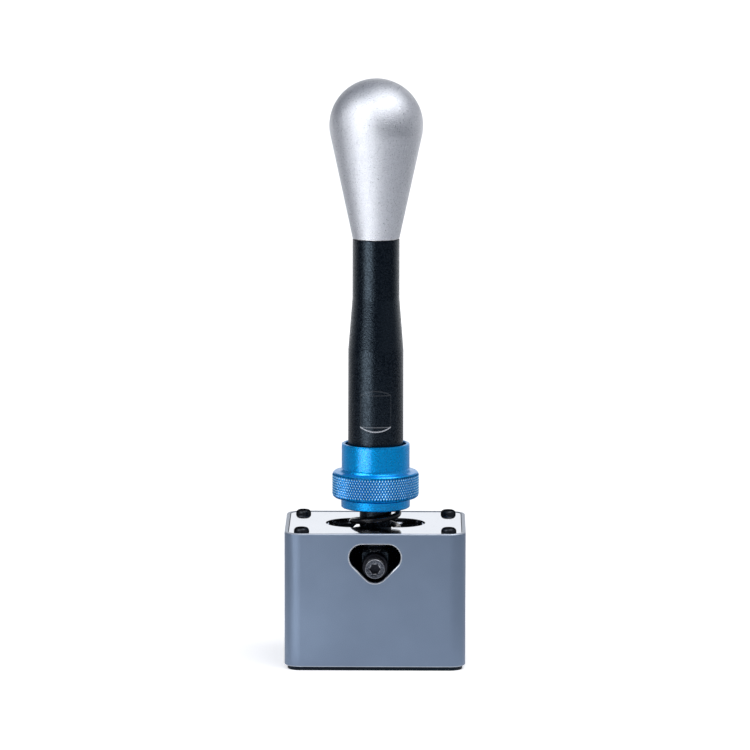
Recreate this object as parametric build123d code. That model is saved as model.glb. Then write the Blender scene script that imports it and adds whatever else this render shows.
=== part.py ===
from build123d import *
from math import acos, atan2, cos, hypot, pi, radians, sin, sqrt
import os

# A sequential gear shifter for driving games, in millimetres.
# +Z is up, the windowed front faces -Y, and the lever swings left and right about a low pivot.
# The origin is the middle of the base's underside.

# Fits and small allowances
running_fit = 0.05        # radial room of a shaft in its bore, or a screw in its thread
sliding_gap = 0.3         # room between faces that move past each other
seat_gap = 0.05           # room under a piece that is set down on a turning one
edge_break = 0.4          # chamfer on machined edges
overrun = 1.0             # how far a cutter runs past the stock

# Housing: a rounded box section with screw posts in its corners
housing_width = 90.0
housing_depth = 70.0
housing_height = 67.0
housing_corner = 8.0
housing_wall = 3.5
lip_width = 1.8           # thin rim round the top plate
post_size = 11.0
post_corner = 4.0
screw_inset = 8.45        # corner screws, from the housing's sides

# Base plate
base_reveal = 2.0         # the part of the plate that shows below the housing
base_thickness = 6.0
base_inset = 1.5
spigot_gap = 0.2
mount_spacing_x = 50.0
mount_spacing_y = 40.0
mount_drill = 5.0         # tapping hole of the rig screws

# Top plate
plate_thickness = 3.0
plate_gap = 0.4
plate_sink = 0.2
slot_room = 1.0           # between the spring and the slot's long sides
slot_swing = 11.9         # between the spring and the slot's ends

# Screws: thread, head width, head height, socket width
corner_thread = 4.0
button_head = 7.6
button_height = 2.2
button_socket = 2.5
button_crown_share = 0.766 # the crown's middle point, of half the width and of the height
button_length = 12.0
countersunk_head = 8.0
countersunk_socket = 2.5
base_screw_length = 16.0
bracket_screw_length = 13.0
small_thread = 3.0
small_head = 5.5
small_socket = 2.0
cam_screw_length = 7.5
screw_tip_room = 1.0      # a tapped hole is deeper than its screw by this
axle_thread = 6.0
axle_head = 10.0
axle_head_height = 6.0
axle_socket = 5.0
axle_socket_depth = 3.0
axle_tip_room = 2.8       # between the screw's tip and the yoke's bore

# Lever and its pivot
pivot_diameter = 8.0
tilt_limit = 4.5          # degrees each way
foot_width_share = 0.531  # the foot's share of the height from the bracket's floor to the yoke
foot_room = 1.0           # below the foot
foot_rise_share = 0.67    # the foot's share of the height from the pivot up to the yoke
foot_thread = 10.0
foot_web = 2.0            # metal between the shaft's thread and the pivot
shaft_diameter = 16.0
shaft_grip = 47.7         # the shaft's length inside the tube

# Pivot bracket and bushes
bracket_width = 24.0
bracket_floor = 4.0
cheek_thickness = 6.0
bush_wall = 1.0
bush_flange = 14.0
bush_flange_thickness = 1.5
bracket_screw_x = 8.0
circlip_width = 12.0
circlip_thickness = 0.8
circlip_groove = 0.5
pivot_overhang = 1.5      # pivot shaft beyond the bracket's cheeks
grub_thread = 4.0
grub_socket = 2.0

# Follower: a yoke that slides on the shaft and carries a roller at each end
follower_depth = 13.9     # of the rollers' axis, below the top plate
follower_rim = 1.5        # of the yoke round the spring's washer
follower_block_height = 16.0
follower_arm = 13.0
follower_bush_wall = 2.0
roller_diameter = 13.0
roller_width = 5.0
roller_ring = 1.3         # radial thickness of the outer ring
core_diameter = 8.4
shield_thickness = 0.4
roller_washer = 0.7
roller_washer_diameter = 8.6

# Windows in the housing and V tracks behind them
window_corner = 6.5
window_spread = 6.3       # corner centres, sideways from the middle and up from the bottom one
window_room = 0.44        # between the axle screw's head and the window at the tilt limit
track_room = 0.45         # how much lower the V is cut than the swinging rollers need
cam_side_room = 5.05      # between the cam plate and the housing's posts
cam_depth = 13.9          # of the cam plate below the rollers' axis
cam_screw_inset = 4.5
cam_screw_low = 5.0       # above the cam plate's bottom edge
cam_screw_high = 17.0

# Spring
wire = 3.0
spring_outer = 26.0
spring_washer_thickness = 1.5
spring_washer_rim = 0.5   # of the washer round the spring
active_turns = 2.25
coil_gap = 0.7            # between the nearly closed turns at each end
spring_start = 35.0       # degrees round the lever from +X, where the wire begins

# Collar and spring cup
lip_gap = 8.2             # from the top plate up to the cup
cup_room = 0.75           # round the spring
cup_wall = 1.25
cup_lip = 2.25            # how far the lip stands out from the cup
cup_lip_height = 4.2
cup_height = 15.0
cup_web = 2.0
thrust_thickness = 1.0
collar_groove = 1.1       # dark gap between cup and collar
collar_band_step = 4.75   # how far the band stands out from the sleeve
collar_band_height = 12.7
collar_band_chamfer = 1.0
collar_shoulder = 1.7
collar_sleeve_wall = 1.7
collar_sleeve_height = 12.6
collar_web = 6.0
thread_pitch = 1.5
collar_turns = 2.0        # each way

# Grip tube
tube_low_diameter = 27.6
tube_top_diameter = 23.5
tube_low_length = 54.2
tube_taper_length = 25.8
tube_top_length = 29.7
tube_bore = 14.0
tube_edge = 0.6
taper_blend = 20.0
flat_rise = 16.7          # from the tube's lower end to the flats
flat_length = 16.0
flat_depth = 2.25

# Knob
knob_radius = 23.4
knob_base_radius = 11.65
knob_rise = 56.7          # from the knob's foot up to the middle of its ball
knob_edge = 0.5
stud_diameter = 10.0
stud_length = 32.0
stud_share_in_knob = 0.5

# End stops
stop_block_width = 8.0
stop_block_depth = 14.0
stop_block_rise = 2.0     # above the foot
stop_block_gap = 8.0      # between the foot and the block
stop_drop = 4.0           # of the stop screws below the foot's top
stop_thread = 6.0
stop_screw_length = 13.0
stop_socket = 3.0
stop_block_screw_y = 4.0
stop_block_screw_length = 14.0
pad_length = 3.0

# Angle sensor
magnet_diameter = 6.0
magnet_length = 2.5
board_left = 14.0         # how far the board reaches left of the pivot
board_side_room = 1.05    # between the board's right end and the housing's post
board_thickness = 1.6
board_rise = 2.5          # above the base plate
board_top_room = 4.5      # below the cam plate
sensor_gap = 2.5          # from the magnet to the sensor
board_spacer = 2.9
board_spacer_diameter = 5.0
board_screw_thread = 2.5
board_screw_head = 4.5
board_screw_head_height = 1.2
board_screw_length = 6.5
board_screw_inset = 3.5
chip_thickness = 1.0
sensor_chip_width = 5.0
sensor_chip_height = 4.0
main_chip_side = 7.0
regulator_width = 6.5
regulator_height = 3.5
chip_inset = 11.0         # main chip's middle, from the board's right end
chip_drop = 10.0          # main chip's middle, below the board's top
socket_width = 9.0
socket_height = 3.2
socket_wall = 0.35
socket_corner = 1.2
socket_gap = 0.35
socket_inset = 11.0       # socket's middle, from the board's right end
socket_rise = 5.5         # above the board's bottom edge
socket_sink = 0.3         # mouth inside the rear wall's face

# Heights from the base up to the yoke
housing_top = base_reveal + housing_height
plate_top = housing_top - plate_sink
plate_bottom = plate_top - plate_thickness
bracket_top = base_thickness + bracket_floor
follower_height = plate_bottom - follower_depth
follower_bottom = follower_height - follower_block_height / 2
follower_top = follower_height + follower_block_height / 2
foot_width = foot_width_share * (follower_bottom - bracket_top)
pivot_height = bracket_top + foot_room + foot_width / 2
foot_top = pivot_height + foot_rise_share * (follower_bottom - pivot_height)
foot_thread_length = foot_top - foot_web - pivot_height - pivot_diameter / 2
stop_height = foot_top - stop_drop
stop_block_top = foot_top + stop_block_rise
cam_bottom = follower_height - cam_depth
board_bottom = base_thickness + board_rise
board_top = cam_bottom - board_top_room

# Places across the housing
wall_face = housing_depth / 2 - housing_wall
post_x = housing_width / 2 - screw_inset
post_y = housing_depth / 2 - screw_inset
cam_width = 2 * (post_x - post_size / 2 - cam_side_room)
cam_screw_x = cam_width / 2 - cam_screw_inset
cam_face = wall_face - roller_width
board_right = post_x - post_size / 2 - board_side_room
board_back = wall_face - board_spacer
board_front = board_back - board_thickness
pivot_end = board_front - chip_thickness - sensor_gap
cheek_outer = pivot_end - pivot_overhang
cheek_inner = cheek_outer - cheek_thickness
foot_depth = 2 * (cheek_inner - bush_flange_thickness - sliding_gap)
roller_outer_face = wall_face - sliding_gap
roller_inner_face = roller_outer_face - roller_width
follower_end = roller_inner_face - roller_washer
axle_head_face = roller_outer_face + roller_washer
socket_x = board_right - socket_inset
chip_x = board_right - chip_inset

# How far the rollers swing sideways, and sink, when the lever is at its limit
swing = (follower_height - pivot_height) * sin(radians(tilt_limit))
sink_at_limit = (follower_height - pivot_height) * (1 - cos(radians(tilt_limit)))
track_drop = swing + sink_at_limit + track_room
window_drop = swing + sink_at_limit - (window_corner - axle_head / 2 - window_room) * sqrt(2)

# Round sizes, from the shaft and the spring outwards
follower_bore = shaft_diameter + 2 * (running_fit + follower_bush_wall + running_fit)
slot_width = spring_outer + 2 * slot_room
slot_length = spring_outer + 2 * slot_swing
spring_washer_diameter = spring_outer + 2 * spring_washer_rim
follower_boss = spring_washer_diameter + 2 * follower_rim
cup_inside = spring_outer + 2 * cup_room
cup_diameter = cup_inside + 2 * cup_wall
cup_lip_diameter = cup_diameter + 2 * cup_lip
collar_bore = cup_diameter + 2 * sliding_gap
collar_sleeve_diameter = collar_bore + 2 * collar_sleeve_wall
collar_band_diameter = collar_sleeve_diameter + 2 * collar_band_step

# Heights up the lever
spring_bottom = follower_top + spring_washer_thickness
cup_bottom = plate_top + lip_gap
cup_top = cup_bottom + cup_height
spring_top = cup_top - cup_web
thrust_top = cup_top + thrust_thickness
collar_bottom = cup_bottom + cup_lip_height + collar_groove
band_top = collar_bottom + collar_band_height
sleeve_bottom = band_top + collar_shoulder
collar_top = sleeve_bottom + collar_sleeve_height
web_top = thrust_top + collar_web
tube_bottom = web_top + thread_pitch * collar_turns + sliding_gap
shaft_top = tube_bottom + shaft_grip
taper_bottom = tube_bottom + tube_low_length
taper_top = taper_bottom + tube_taper_length
tube_top = taper_top + tube_top_length
ball_height = tube_top + knob_rise
REAR = Rot(-90, 0, 0)      # turns a piece made along +Z to point out of the rear wall
FRONT_COPY = Rot(0, 0, 180)
SIDES = (-1, 1)


def disc(diameter, low, high):
    """A round bar on the Z axis between two heights."""
    return Pos(0, 0, low) * extrude(Circle(diameter / 2), amount=high - low)


def ring(outer, inner, low, high):
    """A washer, bush or sleeve on the Z axis between two heights."""
    return Pos(0, 0, low) * extrude(Circle(outer / 2) - Circle(inner / 2), amount=high - low)


def block(width, depth, low, high):
    """A square bar on the Z axis between two heights."""
    return Pos(0, 0, low) * extrude(Rectangle(width, depth), amount=high - low)


def hexagon(across_flats, low, high):
    """A hexagonal bar on the Z axis, sized across its flats."""
    profile = RegularPolygon(across_flats / 2, 6, major_radius=False)
    return Pos(0, 0, low) * extrude(profile, amount=high - low)


def rounded_prism(width, depth, corner, low, high):
    """A rounded rectangle standing on edge, such as a plate or a box."""
    return Pos(0, 0, low) * extrude(RectangleRounded(width, depth, corner), amount=high - low)


def four_corners(x, y):
    """The four places at plus and minus x and y."""
    return [Pos(side * x, end * y, 0) for side in SIDES for end in SIDES]


def outer_rims(body):
    """The widest round edges of a turned body."""
    return body.edges().filter_by(GeomType.CIRCLE).group_by(SortBy.RADIUS)[-1]


def front_and_rear(pieces):
    """Rear pieces with the same pieces turned round to the front."""
    return pieces + [FRONT_COPY * piece for piece in pieces]


def socket_head_screw(thread, length):
    """A socket-head screw along +Z, its head's bearing face at zero."""
    head = disc(axle_head, 0, axle_head_height)
    head = chamfer(head.edges().sort_by(Axis.Z)[-1], edge_break)
    recess = hexagon(axle_socket, axle_head_height - axle_socket_depth, axle_head_height + overrun)
    return head + disc(thread, -length, 0) - recess


def button_screw():
    """A domed screw along +Z, its head's bearing face at zero."""
    rise = button_height
    half = button_head / 2
    flat = button_socket
    middle = (half * button_crown_share, rise * button_crown_share)
    crown = ThreePointArc((half, 0), middle, (flat, rise))
    outline = make_face([Line((0, 0), (half, 0)), crown, Line((flat, rise), (0, rise)),
                         Line((0, rise), (0, 0))])
    head = revolve(Plane.XZ * outline, Axis.Z)
    recess = hexagon(button_socket, rise / 2, rise + overrun)
    return head + disc(corner_thread, -button_length, 0) - recess


def flat_screw(thread, head, socket, length):
    """A countersunk screw along +Z, its flat top at zero."""
    sink = (head - thread) / 2
    cone = Pos(0, 0, -sink / 2) * Cone(thread / 2, head / 2, sink)
    recess = hexagon(socket, -sink, overrun)
    return cone + disc(thread, -length, -sink / 2) - recess


def flat_screw_hole(thread, head, length):
    """The cutter for a countersunk screw: its cone, its thread and room past its tip."""
    sink = (head - thread) / 2 + running_fit
    top = head / 2 + running_fit
    cone = Pos(0, 0, -sink / 2) * Cone(top - sink, top, sink)
    mouth = disc(2 * top, 0, overrun)
    return cone + mouth + disc(thread + 2 * running_fit, -length - screw_tip_room, 0)


def rounded_triangle(corner, spread):
    """A window outline: bottom corner at the origin, two more up and out at 45 degrees."""
    centres = [(0, 0), (-spread, spread), (spread, spread)]
    corners = [Pos(x, z) * Circle(corner) for x, z in centres]
    return make_hull([edge for circle in corners for edge in circle.edges()])


# Housing, plates and their screws
def housing():
    """Anodised box section with corner posts, a window front and rear, and a stepped top rim."""
    shell = rounded_prism(housing_width, housing_depth, housing_corner, base_reveal, housing_top)
    rims = shell.faces().filter_by(Axis.Z).edges()
    shell = chamfer(rims, edge_break)
    inner = RectangleRounded(housing_width - 2 * housing_wall, housing_depth - 2 * housing_wall,
                             housing_corner - housing_wall)
    posts = [place * RectangleRounded(post_size, post_size, post_corner)
             for place in four_corners(post_x, post_y)]
    room = Pos(0, 0, base_thickness) * extrude(inner - posts, amount=plate_bottom - base_thickness)
    foot_room = Pos(0, 0, base_reveal - overrun) * extrude(
        inner, amount=base_thickness - base_reveal + overrun)
    rebate = rounded_prism(housing_width - 2 * lip_width, housing_depth - 2 * lip_width,
                           housing_corner - lip_width, plate_bottom, housing_top + overrun)
    shell = shell - room - foot_room - rebate
    screw_hole = disc(corner_thread + 2 * running_fit, -button_length - screw_tip_room, overrun)
    base_hole = disc(corner_thread + 2 * running_fit, 0, base_screw_length + screw_tip_room)
    for place in four_corners(post_x, post_y):
        shell -= place * Pos(0, 0, plate_top) * screw_hole
        shell -= place * base_hole
    window = Pos(0, 0, follower_height - window_drop) * Rot(90, 0, 0) * extrude(
        rounded_triangle(window_corner, window_spread), amount=housing_depth, both=True)
    shell -= window
    mouths = [edge for edge in shell.edges()
              if abs(abs(edge.center().Y) - housing_depth / 2) < edge_break / 2
              and abs(edge.center().X) < window_corner + window_spread
              and edge.center().Z > cam_bottom
              and edge.center().Z < plate_bottom]
    shell = chamfer(mouths, edge_break)
    shell -= front_and_rear(cam_screws(running_fit))
    outlet = RectangleRounded(socket_width + 2 * socket_gap, socket_height + 2 * socket_gap,
                              socket_corner + socket_gap)
    shell -= Pos(socket_x, wall_face - overrun, board_bottom + socket_rise) * REAR * extrude(
        outlet, amount=housing_wall + 2 * overrun)
    for place in board_places():
        shell -= place * Pos(0, board_front, 0) * REAR * disc(
            board_screw_thread + 2 * running_fit, 0, board_screw_length + running_fit)
    return shell


def base_plate():
    """Black plate, stepped to sit inside the housing, with tapped holes for the rig."""
    flange = rounded_prism(housing_width - 2 * base_inset, housing_depth - 2 * base_inset,
                           housing_corner - base_inset, 0, base_reveal)
    flange = chamfer(flange.faces().sort_by(Axis.Z)[0].edges(), edge_break / 2)
    inside = 2 * (housing_wall + spigot_gap)
    spigot = rounded_prism(housing_width - inside, housing_depth - inside,
                           housing_corner - housing_wall - spigot_gap, base_reveal, base_thickness)
    plate = flange + spigot
    sink = Rot(180, 0, 0) * flat_screw_hole(corner_thread, countersunk_head, base_screw_length)
    places = four_corners(post_x, post_y)
    places += four_corners(bracket_screw_x, (cheek_inner + cheek_outer) / 2)
    for place in places:
        plate -= place * sink
    small_sink = Rot(180, 0, 0) * flat_screw_hole(small_thread, small_head, stop_block_screw_length)
    for place in stop_screw_places():
        plate -= place * small_sink
    for place in four_corners(mount_spacing_x / 2, mount_spacing_y / 2):
        plate -= place * disc(mount_drill, -overrun, base_thickness + overrun)
    return plate


def base_screws():
    """Four countersunk screws from below into the housing's posts."""
    screw = Rot(180, 0, 0) * flat_screw(corner_thread, countersunk_head, countersunk_socket,
                                        base_screw_length)
    return [place * screw for place in four_corners(post_x, post_y)]


def top_plate():
    """Polished plate let into the rim, with a rounded slot for the lever."""
    width = housing_width - 2 * (lip_width + plate_gap)
    depth = housing_depth - 2 * (lip_width + plate_gap)
    corner = housing_corner - lip_width - plate_gap
    plate = rounded_prism(width, depth, corner, plate_bottom, plate_top)
    slot = SlotOverall(slot_length, slot_width)
    plate -= Pos(0, 0, plate_bottom - overrun) * extrude(slot, amount=plate_thickness + 2 * overrun)
    for place in four_corners(post_x, post_y):
        plate -= place * disc(corner_thread + 2 * running_fit, plate_bottom - overrun,
                              plate_top + overrun)
    return plate


def top_plate_screws():
    """Four domed screws through the top plate's corners."""
    return [place * Pos(0, 0, plate_top) * button_screw() for place in four_corners(post_x, post_y)]


# V tracks
def cam_screws(room):
    """Screws of the rear track plate, or their holes when given some room."""
    screw = flat_screw(small_thread, small_head, small_socket, cam_screw_length)
    if room:
        screw = flat_screw_hole(small_thread, small_head, cam_screw_length - screw_tip_room + room)
    inward = Rot(90, 0, 0)
    return [Pos(side * cam_screw_x, cam_face, cam_bottom + rise) * inward * screw
            for side in SIDES for rise in (cam_screw_low, cam_screw_high)]


def rear_cam_plate():
    """Steel plate with the open V that the rear roller runs in."""
    height = plate_bottom - cam_bottom
    outline = Pos(0, cam_bottom + height / 2) * Rectangle(cam_width, height)
    track = Pos(0, follower_height - track_drop) * rounded_triangle(roller_diameter / 2, cam_width)
    plate = Pos(0, wall_face, 0) * Rot(90, 0, 0) * extrude(outline - track, amount=roller_width)
    return plate - cam_screws(running_fit)


# Pivot
def pivot_bracket():
    """U-shaped bracket on the base, with a bored cheek in front of and behind the lever's foot."""
    floor = block(bracket_width, 2 * cheek_outer, base_thickness, bracket_top)
    rise = pivot_height - base_thickness
    cheek = Pos(0, base_thickness + rise / 2) * Rectangle(bracket_width, rise)
    cheek += Pos(0, pivot_height) * Circle(bracket_width / 2)
    rear = Pos(0, cheek_outer, 0) * Rot(90, 0, 0) * extrude(cheek, amount=cheek_thickness)
    bracket = floor + rear + FRONT_COPY * rear
    bore = pivot_diameter + 2 * (bush_wall + 2 * running_fit)
    bracket -= Pos(0, -cheek_outer - overrun, pivot_height) * REAR * disc(
        bore, 0, 2 * (cheek_outer + overrun))
    hole = disc(corner_thread + 2 * running_fit, 0, bracket_screw_length + screw_tip_room)
    for place in four_corners(bracket_screw_x, (cheek_inner + cheek_outer) / 2):
        bracket -= place * hole
    return bracket


def bracket_screws():
    """Four countersunk screws from below into the bracket's cheeks."""
    screw = Rot(180, 0, 0) * flat_screw(corner_thread, countersunk_head, countersunk_socket,
                                        bracket_screw_length)
    places = four_corners(bracket_screw_x, (cheek_inner + cheek_outer) / 2)
    return [place * screw for place in places]


def pivot_bushes():
    """Two flanged bronze bushes, pressed into the cheeks from inside."""
    inner = pivot_diameter + 2 * running_fit
    bush = ring(inner + 2 * bush_wall, inner, 0, cheek_thickness)
    bush += ring(bush_flange, inner, -bush_flange_thickness, 0)
    return front_and_rear([Pos(0, cheek_inner, pivot_height) * REAR * bush])


def pivot_shaft():
    """Steel pivot, grooved for its circlips and bored at the rear for the magnet."""
    shaft = disc(pivot_diameter, -pivot_end, pivot_end)
    for end in SIDES:
        place = end * (cheek_outer + seat_gap + circlip_thickness / 2)
        shaft -= Pos(0, 0, place) * ring(
            pivot_diameter + overrun, pivot_diameter - 2 * circlip_groove,
            -circlip_thickness / 2 - running_fit, circlip_thickness / 2 + running_fit)
    shaft -= disc(magnet_diameter + 2 * running_fit, pivot_end - magnet_length, pivot_end + overrun)
    return Pos(0, 0, pivot_height) * REAR * shaft


def pivot_circlips():
    """Two open spring clips that keep the pivot in the bracket."""
    inner = pivot_diameter - 2 * circlip_groove + 2 * running_fit
    clip = ring(circlip_width, inner, 0, circlip_thickness)
    clip -= Pos(0, circlip_width / 2, 0) * block(inner / 2, circlip_width, -overrun, overrun)
    return front_and_rear([Pos(0, cheek_outer + seat_gap, pivot_height) * REAR * clip])


def lever_foot():
    """Steel foot of the lever: round about the pivot, tapped on top for the shaft."""
    rise = foot_top - pivot_height
    side = Pos(0, pivot_height + rise / 2) * Rectangle(foot_width, rise)
    side += Pos(0, pivot_height) * Circle(foot_width / 2)
    foot = Pos(0, foot_depth / 2, 0) * Rot(90, 0, 0) * extrude(side, amount=foot_depth)
    foot = chamfer(foot.faces().sort_by(Axis.Z)[-1].edges(), edge_break)
    foot -= Pos(0, -foot_depth, pivot_height) * REAR * disc(
        pivot_diameter + 2 * running_fit, 0, 2 * foot_depth)
    foot -= disc(foot_thread + 2 * running_fit, foot_top - foot_thread_length - seat_gap,
                 foot_top + overrun)
    foot -= Pos(0, 0, pivot_height) * Rot(0, 90, 0) * disc(
        grub_thread + 2 * running_fit, 0, foot_width)
    return foot


def foot_grub_screw():
    """Grub screw that locks the foot to the pivot."""
    start = pivot_diameter / 2 + running_fit
    end = foot_width / 2 - edge_break
    screw = disc(grub_thread, start, end) - hexagon(grub_socket, (start + end) / 2, end + overrun)
    return Pos(0, 0, pivot_height) * Rot(0, 90, 0) * screw


# Lever
def lever_shaft():
    """Black bar: a thread into the foot, a plain length for the follower, a thread above."""
    bar = disc(shaft_diameter, foot_top, shaft_top)
    bar = chamfer(bar.edges().filter_by(GeomType.CIRCLE).sort_by(Axis.Z)[-1], edge_break)
    return bar + disc(foot_thread, foot_top - foot_thread_length, foot_top)


def grip_tube():
    """Black tube with a blended taper and two spanner flats near its foot."""
    low = tube_low_diameter / 2
    high = tube_top_diameter / 2
    line = Polyline((low, tube_bottom), (low, taper_bottom), (high, taper_top), (high, tube_top))
    side = fillet(line.vertices().filter_by(lambda v: tube_bottom < v.Y < tube_top), taper_blend)
    outline = make_face([side, Line((high, tube_top), (0, tube_top)),
                         Line((0, tube_top), (0, tube_bottom)),
                         Line((0, tube_bottom), (low, tube_bottom))])
    tube = revolve(Plane.XZ * outline, Axis.Z)
    tube = chamfer(tube.edges().filter_by(GeomType.CIRCLE).sort_by(Axis.Z)[0], tube_edge)
    tube -= disc(shaft_diameter + 2 * running_fit, tube_bottom - overrun, shaft_top + seat_gap)
    tube -= disc(tube_bore, tube_bottom, tube_top - stud_length * (1 - stud_share_in_knob))
    tube -= disc(stud_diameter + 2 * running_fit, tube_top - stud_length, tube_top + overrun)
    face = low - flat_depth
    bottom = tube_bottom + flat_rise
    top = bottom + flat_length
    ramp = flat_depth + overrun
    wedge = Polygon((face, bottom), (face + ramp, bottom - ramp), (face + ramp, top + ramp),
                    (face, top), align=None)
    cutter = Rot(0, 0, 90) * Plane.XZ * extrude(wedge, amount=tube_low_diameter, both=True)
    return tube - cutter - FRONT_COPY * cutter


def knob_stud():
    """Threaded stud that joins the knob to the tube."""
    low = tube_top - stud_length * (1 - stud_share_in_knob)
    return disc(stud_diameter, low, low + stud_length)


def knob():
    """Turned teardrop: a ball that runs tangent into a cone down to the tube."""
    reach = hypot(knob_rise, knob_base_radius)
    slope = atan2(knob_rise, knob_base_radius) - acos(knob_radius / reach)
    touch = (knob_radius * cos(slope), ball_height - knob_radius * sin(slope))
    crown = (knob_radius * cos(pi / 4), ball_height + knob_radius * sin(pi / 4))
    top = (0, ball_height + knob_radius)
    foot = (knob_base_radius, tube_top)
    outline = make_face([Line((0, tube_top), foot), Line(foot, touch),
                         ThreePointArc(touch, crown, top), Line(top, (0, tube_top))])
    body = revolve(Plane.XZ * outline, Axis.Z)
    rim = body.edges().filter_by(GeomType.CIRCLE).sort_by(Axis.Z)[0]
    body = chamfer(rim, knob_edge)
    hole_top = tube_top + stud_length * stud_share_in_knob + screw_tip_room
    return body - disc(stud_diameter + 2 * running_fit, tube_top - overrun, hole_top)


# Follower
def follower_block():
    """Yoke: a bored boss with an arm to the front and to the rear, tapped for the axle screws."""
    boss = disc(follower_boss, follower_bottom, follower_top)
    arms = Pos(0, 0, follower_height) * Box(follower_arm, 2 * follower_end, follower_arm)
    arms = chamfer(arms.edges().filter_by(Axis.Y), overrun)
    yoke = boss + arms
    yoke -= disc(follower_bore, follower_bottom - overrun, follower_top + overrun)
    hole = disc(axle_thread + 2 * running_fit, follower_bore / 2 - overrun, follower_end + overrun)
    rear = Pos(0, 0, follower_height) * REAR * hole
    return yoke - rear - FRONT_COPY * rear


def follower_bush():
    """Bronze bush that lets the yoke slide on the shaft."""
    inner = shaft_diameter + 2 * running_fit
    return ring(inner + 2 * follower_bush_wall, inner, follower_bottom, follower_top)


def rear_follower_screw():
    """Socket-head screw that is the rear roller's axle; its head shows in the window."""
    screw = socket_head_screw(axle_thread, axle_head_face - follower_bore / 2 - axle_tip_room)
    return Pos(0, axle_head_face, follower_height) * REAR * screw


def rear_roller():
    """The rear roller's outer ring with its two shields."""
    inner = roller_diameter - 2 * roller_ring
    hub = core_diameter + 2 * running_fit
    body = ring(roller_diameter, inner, roller_inner_face, roller_outer_face)
    body = chamfer(outer_rims(body), edge_break)
    body += ring(inner, hub, roller_inner_face, roller_inner_face + shield_thickness)
    body += ring(inner, hub, roller_outer_face - shield_thickness, roller_outer_face)
    return Pos(0, 0, follower_height) * REAR * body


def rear_roller_core():
    """The rear roller's inner ring, clamped by its screw."""
    core = ring(core_diameter, axle_thread + 2 * running_fit, roller_inner_face, roller_outer_face)
    return Pos(0, 0, follower_height) * REAR * core


def roller_washers():
    """Thin washers that keep the rollers clear of the yoke and of the screw heads."""
    inner = axle_thread + 2 * running_fit
    inside = ring(roller_washer_diameter, inner, follower_end, roller_inner_face)
    outside = ring(roller_washer_diameter, inner, roller_outer_face, axle_head_face)
    return front_and_rear([Pos(0, 0, follower_height) * REAR * washer for washer in (inside, outside)])


# Spring
def spring_washer():
    """Zinc-plated washer under the spring."""
    return ring(spring_washer_diameter, shaft_diameter + 2 * sliding_gap, follower_top, spring_bottom)


def coil_spring():
    """Round-wire spring: nearly closed end turns, open turns between, and short straight tips."""
    radius = (spring_outer - wire) / 2
    low = spring_bottom + wire / 2 + seat_gap
    high = spring_top - wire / 2 - seat_gap
    end_rise = wire + coil_gap
    end_quarters = 4
    open_quarters = round(4 * active_turns)
    open_rise = (high - low - 2 * end_rise) / active_turns
    rises = [end_rise / 4] * end_quarters + [open_rise / 4] * open_quarters
    rises += [end_rise / 4] * end_quarters
    heights = [low + sum(rises[:index]) for index in range(len(rises) + 1)]
    quarter = radius * pi / 2
    nodes = []
    for index, height in enumerate(heights):
        angle = radians(spring_start) + index * pi / 2
        at_end = index in (0, len(rises))
        slope = 0 if at_end else (heights[index + 1] - heights[index - 1]) / (2 * quarter)
        heading = Vector(-sin(angle), cos(angle), slope).normalized()
        nodes.append((Vector(radius * cos(angle), radius * sin(angle), height), heading))
    first, last = nodes[0], nodes[-1]
    edges = [Line(first[0] - first[1] * wire, first[0])]
    for (start, leave), (end, arrive) in zip(nodes, nodes[1:]):
        span = end - start
        both = leave + arrive
        square = 4 - both.dot(both)
        cross = span.dot(both)
        reach = (sqrt(cross * cross + square * span.dot(span)) - cross) / square
        knee_in = start + leave * reach
        knee_out = end - arrive * reach
        middle = (knee_in + knee_out) * 0.5
        edges.append(TangentArc(start, middle, tangent=leave))
        edges.append(TangentArc(middle, end, tangent=knee_out - knee_in))
    edges.append(Line(last[0], last[0] + last[1] * wire))
    path = Wire(edges)
    print("spring: least gap to itself", round(least_gap(path), 2), "mm; length", round(path.length, 1))
    tube = sweep(Plane(origin=path @ 0, z_dir=path % 0) * Circle(wire / 2), path=path)
    print("spring: volume against section times length",
          round(tube.volume / (pi * wire * wire / 4 * path.length), 4))
    return tube


def least_gap(path):
    """The least distance between two turns of the wire, surface to surface."""
    step = wire / 2
    count = round(path.length / step)
    points = [path @ (index / count) for index in range(count + 1)]
    skip = round((spring_outer - wire) * pi / 2 / step)
    return min((points[i] - points[j]).length
               for i in range(len(points)) for j in range(i + skip, len(points))) - wire


# Collar and cup
def spring_cup():
    """Blue cup over the spring's top: its lip shows below the collar, its wall is inside it."""
    cup = ring(cup_lip_diameter, cup_inside, cup_bottom, cup_bottom + cup_lip_height)
    cup = chamfer(outer_rims(cup).sort_by(Axis.Z)[0], edge_break)
    cup += ring(cup_diameter, cup_inside, cup_bottom + cup_lip_height, cup_top)
    return cup + ring(cup_inside, shaft_diameter + 2 * running_fit, spring_top, cup_top)


def thrust_washer():
    """Plastic washer between the turning collar and the cup."""
    return ring(cup_diameter, shaft_diameter + 2 * sliding_gap, cup_top, thrust_top)


def adjuster_collar():
    """Blue collar: knurled band below, smooth sleeve above, threaded web inside."""
    band = disc(collar_band_diameter, collar_bottom, band_top)
    band = chamfer(band.edges().filter_by(GeomType.CIRCLE), collar_band_chamfer)
    shoulder = disc(collar_sleeve_diameter + 2 * edge_break, band_top, sleeve_bottom)
    shoulder = chamfer(shoulder.edges().filter_by(GeomType.CIRCLE).sort_by(Axis.Z)[-1], edge_break)
    sleeve = disc(collar_sleeve_diameter, sleeve_bottom, collar_top)
    sleeve = chamfer(sleeve.edges().filter_by(GeomType.CIRCLE).sort_by(Axis.Z)[-1], edge_break)
    collar = band + shoulder + sleeve
    collar -= disc(collar_bore, collar_bottom - overrun, thrust_top)
    collar -= disc(collar_bore, web_top, collar_top + overrun)
    return collar - disc(shaft_diameter + 2 * running_fit, thrust_top - overrun, web_top + overrun)


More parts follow.
